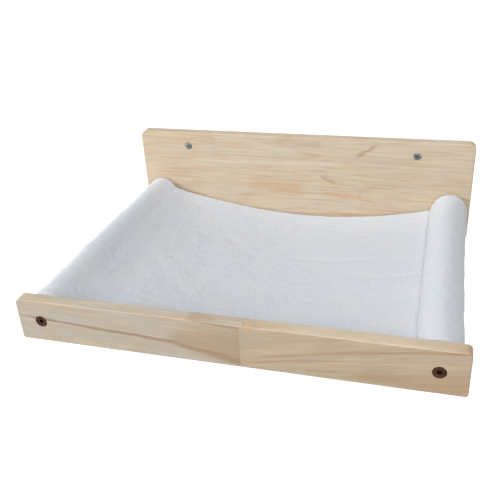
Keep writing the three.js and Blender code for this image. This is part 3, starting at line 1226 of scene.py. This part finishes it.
cloth = {
    "thickness": 7.2 * mm,
    "fillets": {"left": 15 * mm, "right": 1.5 * mm},  # radius of the hollow between seat and roll
    "creases": {"left": 0, "right": 1.35 * mm},  # how far the seat dips beside each roll
    "creaseWidth": 1.7 * mm,
    "tuck": 8.8 * mm,  # how far the seat runs on past its seam, under each roll
    "tuckSinkShare": 0.35,
    "tuckRise": 7 * mm,
    "edgeInset": 1.6 * mm,
    "hemWidth": 28 * mm,
    "hemSwell": 0.7 * mm,
    "hemGroove": 0.6 * mm,
    "grooveWidth": 3 * mm,
    "flapWidth": 20 * mm,
    "flapSwell": 1.6 * mm,
    "flapEdge": 1.6 * mm,
    "edgeRounding": 3 * mm,
    "edgeDraw": 2 * mm,  # how far the rear edge stays back from its line
    "edgeWave": 0.7 * mm,
    "edgeWaveCell": 6 * mm,
    "edgeSeeds": {"front": 31, "rear": 37},
    "scallop": 0.7 * mm,
    "scallopPitch": 3.6 * mm,
    "step": 1.5 * mm,
    "seamStep": 0.6 * mm,
    "seamBand": 20 * mm,
    "sagAtSeam": 4.5 * mm,  # the seat's top over the dowels' axes at the seams
    "sag": 18.6 * mm,
    "lowOffset": 35 * mm,
    "bendLength": 60 * mm,
    "rises": {"left": 4.5 * mm, "right": 4.4 * mm},  # how far the seat turns up beside each roll
    "riseLengths": {"left": 40 * mm, "right": 60 * mm},
    "folds": (
        {
            "fromRear": 167 * mm, "fromSeam": 24 * mm, "halfLength": 30 * mm, "halfWidth": 3 * mm,
            "depth": 2 * mm,
        },
        {
            "fromRear": 125 * mm, "fromSeam": 112 * mm, "halfLength": 42 * mm, "halfWidth": 4 * mm,
            "depth": 2 * mm,
        },
    ),
}


def pileHeight(points):
    # How far the pile stands out at points given as an n by 3 array
    total = 0
    for layer in pile["layers"]:
        total = total + layer["height"] * steadyNoise(points, layer["cell"], layer["seed"])
    return total


seatLow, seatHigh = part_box("seat_panel")
seatEnd = seatHigh.x
frontEdge, rearEdge = seatLow.y, seatHigh.y
clothLength = rearEdge - frontEdge
dowelX = middleOf("right_dowel").x
axisZ = middleOf("right_dowel").z


def rollRadius(angle, name, s):
    # Outer radius of a roll, with the angle taken from the side where the seat leaves it
    up = np.sin(angle)
    inner = np.cos(angle)
    lipOffset = s["radius"] * up - s["lipAbove"]
    lip = np.where(inner > 0, s["lip"] * np.exp(-((lipOffset / s["lipHalfHeight"]) ** 2)), 0)
    puff = np.where(up > 0, s["puff"], s["slack"]) * up * up
    outer = np.where(inner < 0, s["outerPuff"][name] * inner * inner, 0)
    return s["radius"] + puff + lip + outer


def seatTop(x, s=cloth):
    # Height of the seat's top over the dowels' axes, between the seams
    def curve(distance):
        return np.hypot(distance, s["bendLength"]) - s["bendLength"]

    fullRise = curve(-seatEnd - s["lowOffset"])
    height = s["sagAtSeam"] - s["sag"] * (1 - curve(x - s["lowOffset"]) / fullRise)
    for side, name in ((-1, "left"), (1, "right")):
        turned = np.clip(1 - (seatEnd - side * x) / s["riseLengths"][name], 0, 1)
        height = height + s["rises"][name] * turned**2
    return height


def filletSpec(name, s):
    # The hollow's middle and its two ends, as distances from the dowel's axis towards the seat
    reach = s["fillets"][name]
    rollSize = rolls["radius"] + rolls["lip"] / 2
    seamUp = float(seatTop(-seatEnd if name == "left" else seatEnd))
    middleUp = seamUp + reach
    middleOut = math.sqrt((rollSize + reach) ** 2 - middleUp**2)
    onRoll = middleOut * rollSize / (rollSize + reach)
    return reach, rollSize, middleOut, middleUp, onRoll, seamUp


def seatProfile(x, s):
    # The seat's top with its hollow beside each roll and its end tucked under the roll
    height = seatTop(np.clip(x, -seatEnd, seatEnd))
    for side, name in ((-1, "left"), (1, "right")):
        reach, rollSize, middleOut, middleUp, onRoll, seamUp = filletSpec(name, s)
        out = dowelX - side * x
        base = np.interp(middleOut, out[::-side], height[::-side])
        inHollow = (out < middleOut) & (out >= onRoll)
        drop = np.sqrt(np.clip(reach**2 - (middleOut - out) ** 2, 0, None))
        easing = base - seamUp
        share = np.clip((out - onRoll) / (middleOut - onRoll), 0, 1)
        height = np.where(inHollow, middleUp - drop + easing * smoothStep(share), height)
        under = np.sqrt(np.clip(rollSize**2 - out**2, 0, None)) - s["tuckSinkShare"] * (onRoll - out)
        height = np.where(out < onRoll, under, height)
        height = height - s["creases"][name] * np.exp(-(((out - middleOut) / s["creaseWidth"]) ** 2))
    return height


sagging = {
    "columns": 60,
    "rows": 54,
    "slackShare": 0.002,
    "frames": 30,
    "mass": 0.25,
    "stiffness": 120,
    "bending": 2.5,
    "quality": 8,
    "damping": 2,
    "startCrease": 0.9 * mm,
    "creaseCell": 30 * mm,
    "creaseSeed": 21,
    "mostDrift": 9 * mm,  # the cloth as it is set stays within it
    "fineCount": 400,
}


def simulateSeat(s):
    # Hangs the middle of the cloth from its seams; gives how far each point leaves its plain curve
    xs = np.linspace(-seatEnd, seatEnd, s["columns"])
    ys = np.linspace(frontEdge, rearEdge, s["rows"])
    gridX, gridY = np.meshgrid(xs, ys)
    gridZ = axisZ + seatTop(gridX) - cloth["thickness"] / 2
    plain = np.stack([gridX, gridY, gridZ], axis=-1).reshape(-1, 3)
    start = plain.copy()
    start[:, 2] += s["startCrease"] * steadyNoise(plain, s["creaseCell"], s["creaseSeed"])
    index = np.arange(s["columns"] * s["rows"]).reshape(s["rows"], s["columns"])
    mesh = gridMesh("hanging", start, patchFaces(index))
    sheet = bpy.data.objects.new("hanging", mesh)
    bpy.context.scene.collection.objects.link(sheet)
    held = sheet.vertex_groups.new(name="seams")
    held.add([int(i) for i in np.concatenate([index[:, 0], index[:, -1]])], 1, "REPLACE")
    change = sheet.modifiers.new("hang", "CLOTH")
    settings = change.settings
    settings.quality = s["quality"]
    settings.mass = s["mass"]
    settings.tension_stiffness = s["stiffness"]
    settings.compression_stiffness = s["stiffness"]
    settings.shear_stiffness = s["stiffness"] / 2
    settings.bending_stiffness = s["bending"]
    settings.air_damping = s["damping"]
    settings.shrink_min = -s["slackShare"]
    settings.vertex_group_mass = "seams"
    settings.pin_stiffness = 1
    change.collision_settings.use_collision = False
    change.point_cache.frame_start = 1
    change.point_cache.frame_end = s["frames"]
    scene = bpy.context.scene
    for number in range(1, s["frames"] + 1):
        scene.frame_set(number)
    seen = sheet.evaluated_get(bpy.context.evaluated_depsgraph_get())
    after = np.zeros(len(plain) * 3, np.float32)
    seen.data.vertices.foreach_get("co", after)
    scene.frame_set(1)
    bpy.data.objects.remove(sheet)
    bpy.data.meshes.remove(mesh)
    drift = (after.reshape(-1, 3)[:, 2] - plain[:, 2]).reshape(s["rows"], s["columns"])
    print("seat hung, drift from %.2f to %.2f mm" % (drift.min() / mm, drift.max() / mm))
    return np.clip(drift, -s["mostDrift"], s["mostDrift"])


def resampled(values, count):
    # Rows of values brought to count rows by a smooth spline
    rows = len(values)
    at = np.linspace(0, rows - 1, count)
    base = np.floor(at).astype(int)
    part = at - base
    weights = (
        (1 - part) ** 3 / 6,
        (3 * part**3 - 6 * part**2 + 4) / 6,
        (-3 * part**3 + 3 * part**2 + 3 * part + 1) / 6,
        part**3 / 6,
    )
    total = 0
    for k, weight in enumerate(weights):
        spot = np.clip(base + k - 1, 0, rows - 1)
        total = total + values[spot] * weight[:, None]
    return total


def stripStations(length, step, rounding, roundSteps=4):
    # Distances along a strip, close together where its ends are rounded
    near = rounding * (1 - np.cos(np.linspace(0, math.pi / 2, roundSteps + 1)))[:-1]
    inside = np.linspace(rounding, length - rounding, int((length - 2 * rounding) / step) + 1)
    return np.concatenate([near, inside, length - near[::-1]])


def seatColumns(s):
    # Places along X, closer together beside the seams
    reach = seatEnd + s["tuck"]
    inner = seatEnd - s["seamBand"]
    middle = np.linspace(-inner, inner, int(2 * inner / s["step"]) + 1)
    edge = np.linspace(inner, reach, int((reach - inner) / s["seamStep"]) + 1)[1:]
    return np.concatenate([-edge[::-1], middle, edge])


def seatRelief(fromEdge, s):
    # How far the hems swell and the lines of stitches sink
    past = (fromEdge - s["hemWidth"]) / s["grooveWidth"]
    return s["hemSwell"] * (1 - smoothStep(past + 1)) - s["hemGroove"] * np.exp(-(past**2))


def seatFolds(gridX, gridY, s):
    total = np.zeros_like(gridX)
    for fold in s["folds"]:
        along = (seatEnd - gridX - fold["fromSeam"]) / fold["halfLength"]
        across = (rearEdge - gridY - fold["fromRear"]) / fold["halfWidth"]
        total += fold["depth"] * np.exp(-(along**2) - across**2)
    return total


def seatSurfaces(drift, s):
    # Tables of points on the seat's top and underside
    stations = stripStations(clothLength, s["step"], s["edgeRounding"])
    xs = seatColumns(s)
    gridX, gridY = np.meshgrid(xs, frontEdge + stations)
    inX = np.clip(gridX, -seatEnd, seatEnd)
    count = sagging["fineCount"]
    fine = resampled(resampled(drift, count).T, count).T
    column = np.round((inX / seatEnd + 1) / 2 * (count - 1)).astype(int)
    line = np.round((gridY - frontEdge) / clothLength * (count - 1)).astype(int)
    moves = fine[line, column] - seatFolds(gridX, gridY, s)
    pastSeam = smoothStep((np.abs(gridX) - seatEnd) / s["tuck"])
    fromEdge = np.minimum(gridY - frontEdge, rearEdge - gridY)
    rounded = roundShare(fromEdge, s["edgeRounding"])
    shrink = s["edgeRounding"] * (1 - rounded)
    topZ = axisZ + seatProfile(xs, s)[None, :] + moves - shrink
    flap = s["flapSwell"] * smoothStep((np.abs(gridX) - seatEnd + s["flapWidth"]) / s["flapEdge"])
    lowZ = axisZ + seatTop(inX) - s["thickness"] + moves - flap + s["tuckRise"] * pastSeam + shrink
    middleY = (frontEdge + rearEdge) / 2
    inward = np.sign(middleY - gridY) * s["edgeInset"] * pastSeam
    relief = seatRelief(fromEdge, s)
    share = pile["edgeShare"] + (1 - pile["edgeShare"]) * rounded
    surfaces = []
    for up, height in ((1, topZ), (-1, lowZ)):
        plain = np.stack([gridX, gridY + inward, height], axis=-1)
        rough = pileHeight(plain.reshape(-1, 3)).reshape(gridX.shape)
        normal = surfaceNormals(plain) * up
        inside = rounded[..., None] > 0
        push = np.where(inside, normal, np.array([0, 0, up]))
        surfaces.append(plain + push * ((relief + rough) * share)[..., None])
    edgeLine = np.stack([xs, np.zeros_like(xs), np.zeros_like(xs)], axis=-1)
    edges = ((0, -1, "front", 0), (-1, 1, "rear", s["edgeDraw"]))
    for row, outward, name, draw in edges:
        scallop = s["scallop"] * np.abs(np.sin(math.pi * xs / s["scallopPitch"]))
        wave = s["edgeWave"] * steadyNoise(edgeLine, s["edgeWaveCell"], s["edgeSeeds"][name])
        held = (1 - pastSeam[row]) * (wave + scallop - s["scallop"] - draw)
        for surface in surfaces:
            surface[row, :, 1] += outward * held
    return surfaces


def makeSeat(surfaces):
    top, bottom = surfaces
    rows, columns = top.shape[:2]
    index = np.arange(rows * columns).reshape(rows, columns)
    under = index + rows * columns
    faces = [patchFaces(index), patchFaces(under)[:, ::-1]]
    rims = (
        (index[0], under[0]),
        (index[-1, ::-1], under[-1, ::-1]),
        (index[::-1, 0], under[::-1, 0]),
        (index[:, -1], under[:, -1]),
    )
    for above, below in rims:
        faces.append(np.stack([above[:-1], below[:-1], below[1:], above[1:]], axis=-1))
    points = np.concatenate([top.reshape(-1, 3), bottom.reshape(-1, 3)])
    mesh = gridMesh("seat_cloth", points, np.concatenate(faces))
    piece = addObject("seat_cloth", mesh, plush)
    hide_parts("seat_panel")
    return piece


stitches = {
    "pitch": 4 * mm,
    "length": 3.1 * mm,
    "radius": 0.42 * mm,
    "dive": 0.45 * mm,
    "lift": 0.12 * mm,
    "rings": ((-1, 0), (-0.85, 0.7), (-0.4, 1), (0.4, 1), (0.85, 0.7), (1, 0)),
    "sides": 6,
    "seamInset": 10 * mm,
    "endGap": 4 * mm,
}


def stitchPoints(path, normals, s):
    # Rounded stitches in a row along a path; each end dips into the cloth
    lengths = np.concatenate([[0], np.cumsum(np.linalg.norm(np.diff(path, axis=0), axis=1))])
    places = np.arange(s["endGap"], lengths[-1] - s["endGap"], s["pitch"])
    middle = np.stack([np.interp(places, lengths, path[:, k]) for k in range(3)], axis=-1)
    up = np.stack([np.interp(places, lengths, normals[:, k]) for k in range(3)], axis=-1)
    later = places + s["pitch"] / 2
    ahead = np.stack([np.interp(later, lengths, path[:, k]) for k in range(3)], axis=-1)
    along = ahead - middle
    along /= np.linalg.norm(along, axis=1, keepdims=True)
    aside = np.cross(along, up)
    points = []
    for way, width in s["rings"]:
        centre = middle + along * way * s["length"] / 2 + up * (s["lift"] - s["dive"] * way**2)
        for i in range(s["sides"]):
            angle = 2 * math.pi * i / s["sides"]
            offset = aside * math.cos(angle) + up * math.sin(angle)
            points.append(centre + offset * s["radius"] * width)
    return np.stack(points, axis=1)


def makeStitches(name, runs, s):
    allPoints = np.concatenate([stitchPoints(path, normals, s) for path, normals in runs])
    count, perStitch = allPoints.shape[:2]
    rings = len(s["rings"])
    ring = np.arange(perStitch).reshape(rings, s["sides"])
    closed = np.concatenate([ring, ring[:, :1]], axis=1)
    one = patchFaces(closed)[:, ::-1]
    faces = (np.arange(count)[:, None, None] * perStitch + one[None]).reshape(-1, 4)
    return addObject(name, gridMesh(name, allPoints.reshape(-1, 3), faces), thread)


def seatStitchRuns(surfaces, s):
    # Rows along both hems above and below, and along both flaps underneath
    top, bottom = surfaces
    fromFront = top[:, top.shape[1] // 2, 1] - frontEdge
    hemRows = [np.argmin(np.abs(fromFront - d)) for d in (s["hemWidth"], clothLength - s["hemWidth"])]
    inner = np.abs(top[0, :, 0]) < seatEnd - stitches["seamInset"]
    runs = []
    for surface, up in ((top, 1), (bottom, -1)):
        normal = surfaceNormals(surface) * up
        for row in hemRows:
            runs.append((surface[row][inner], normal[row][inner]))
    normal = -surfaceNormals(bottom)
    for side in (-1, 1):
        column = np.argmin(np.abs(bottom[0, :, 0] - side * (seatEnd - stitches["seamInset"])))
        runs.append((bottom[:, column], normal[:, column]))
    return runs


seatShape = seatSurfaces(simulateSeat(sagging), cloth)
seatPiece = makeSeat(seatShape)
seatStitches = makeStitches("seat_stitches", seatStitchRuns(seatShape, cloth), stitches)
print("seat made")


def makeRoll(side, name, s):
    low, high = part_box(name + "_sleeve")
    dowel = middleOf(name + "_dowel")
    long = high.y - low.y
    stations = stripStations(long, s["step"], s["edgeRounding"])
    angles = np.arange(s["around"]) * 2 * math.pi / s["around"]
    angle, along = np.meshgrid(angles, stations)
    rounded = roundShare(np.minimum(along, long - along), s["edgeRounding"])
    radius = rollRadius(angle, name, s) - s["edgeRounding"] * (1 - rounded)
    opening = smoothStep(1 - (long - along) / s["flareLength"])
    radius = radius + s["flare"][name] * opening * np.sin(angle / 2) ** 2
    direction = np.stack([-side * np.cos(angle), np.zeros_like(angle), np.sin(angle)], axis=-1)
    ones = np.ones_like(angle)
    centre = np.stack([ones * dowel.x, low.y + along, ones * dowel.z], axis=-1)
    plain = (centre + direction * radius[..., None]).reshape(-1, 3)
    rough = pileHeight(plain).reshape(angle.shape)
    drawn = plain * np.array([1, s["puckerStretchShare"], 1])
    pucker = s["pucker"] * steadyNoise(drawn, s["puckerCell"], s["puckerSeed"] + side)
    away = smoothStep(np.abs(np.sin(angle / 2)) * 2)
    share = pile["edgeShare"] + (1 - pile["edgeShare"]) * rounded
    radius = radius + (rough + pucker.reshape(angle.shape) * away) * share
    outside = centre + direction * radius[..., None]
    inside = centre[[-1, 0]] + direction[[-1, 0]] * s["bore"]
    points = np.concatenate([outside, inside]).reshape(-1, 3)
    loops = len(stations) + 2
    index = np.arange(loops * s["around"]).reshape(loops, s["around"])
    closed = np.concatenate([index, index[:1]])
    closed = np.concatenate([closed, closed[:, :1]], axis=1)
    faces = patchFaces(closed)
    mesh = gridMesh(name + "_roll", points, faces if side < 0 else faces[:, ::-1])
    piece = addObject(name + "_roll", mesh, plush)
    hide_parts(name + "_sleeve")


makeRoll(-1, "left", rolls)
makeRoll(1, "right", rolls)
print("rolls made")


# Stage and light

stage = {
    "floorZ": -200 * mm,
    "floorSize": 8,
    "floorColor": (0.6, 0.6, 0.6, 1),
    "floorRoughness": 0.9,
    "floorGlow": 0.9,  # what the camera sees on top of the lamps' light
    "white": (1, 1, 1, 1),
    "worldLevel": 0.1,
    "lampAim": (0, -0.17, -0.02),
}


def showsWhite(tree):
    # 1 where the camera, a mirror or clear glass looks at the surface
    path = addNode(tree, "ShaderNodeLightPath").outputs
    total = calc(tree, "ADD", path["Is Camera Ray"], path["Is Glossy Ray"])
    return calc(tree, "ADD", total, path["Is Transmission Ray"], clamp=True)


def makeFloor(s):
    half = s["floorSize"] / 2
    corners = [(-half, -half, 0), (half, -half, 0), (half, half, 0), (-half, half, 0)]
    mesh = meshFrom("floor", corners, [[0, 1, 2, 3]])
    floor = bpy.data.objects.new("floor", mesh)
    floor.location.z = s["floorZ"]
    bpy.context.scene.collection.objects.link(floor)
    material, tree, shader = newMaterial("floorPaint")
    shader.inputs["Base Color"].default_value = s["floorColor"]
    shader.inputs["Roughness"].default_value = s["floorRoughness"]
    shader.inputs["Specular IOR Level"].default_value = 0
    shader.inputs["Emission Color"].default_value = s["white"]
    glow = calc(tree, "MULTIPLY", showsWhite(tree), s["floorGlow"])
    feed(tree, shader.inputs["Emission Strength"], glow)
    mesh.materials.append(material)


def makeWorld(s):
    world = bpy.data.worlds.new("studio")
    world.use_nodes = True
    tree = world.node_tree
    background = tree.nodes["Background"]
    background.inputs["Color"].default_value = s["white"]
    strength = calc(tree, "MULTIPLY_ADD", showsWhite(tree), 1 - s["worldLevel"], s["worldLevel"])
    feed(tree, background.inputs["Strength"], strength)
    bpy.context.scene.world = world


lamps = {
    "top": {"place": (0.5, -0.9, 2.15), "size": 1.1, "power": 29, "color": (1.01, 1, 0.99)},
    "front": {"place": (0.15, -2.4, 1.05), "size": 1.3, "power": 13.4, "color": (1.02, 1, 0.98)},
    "leftLow": {"place": (-2.1, -0.2, 0), "size": 0.3, "power": 20, "color": (1, 1, 1)},
    "leftFront": {"place": (-1.9, -1.45, 0.85), "size": 0.4, "power": 21, "color": (0.99, 1, 1.01)},
}


def makeLamp(name, s):
    data = bpy.data.lights.new(name, "AREA")
    data.shape = "DISK"
    data.size = s["size"]
    data.energy = s["power"]
    data.color = s["color"]
    lamp = bpy.data.objects.new(name, data)
    lamp.location = s["place"]
    aim = Vector(stage["lampAim"]) - Vector(s["place"])
    lamp.rotation_euler = aim.to_track_quat("-Z", "Y").to_euler()
    bpy.context.scene.collection.objects.link(lamp)


makeFloor(stage)
makeWorld(stage)
for name, settings in lamps.items():
    makeLamp(name, settings)
bpy.context.scene.view_settings.view_transform = "Standard"
print("stage and lamps set")
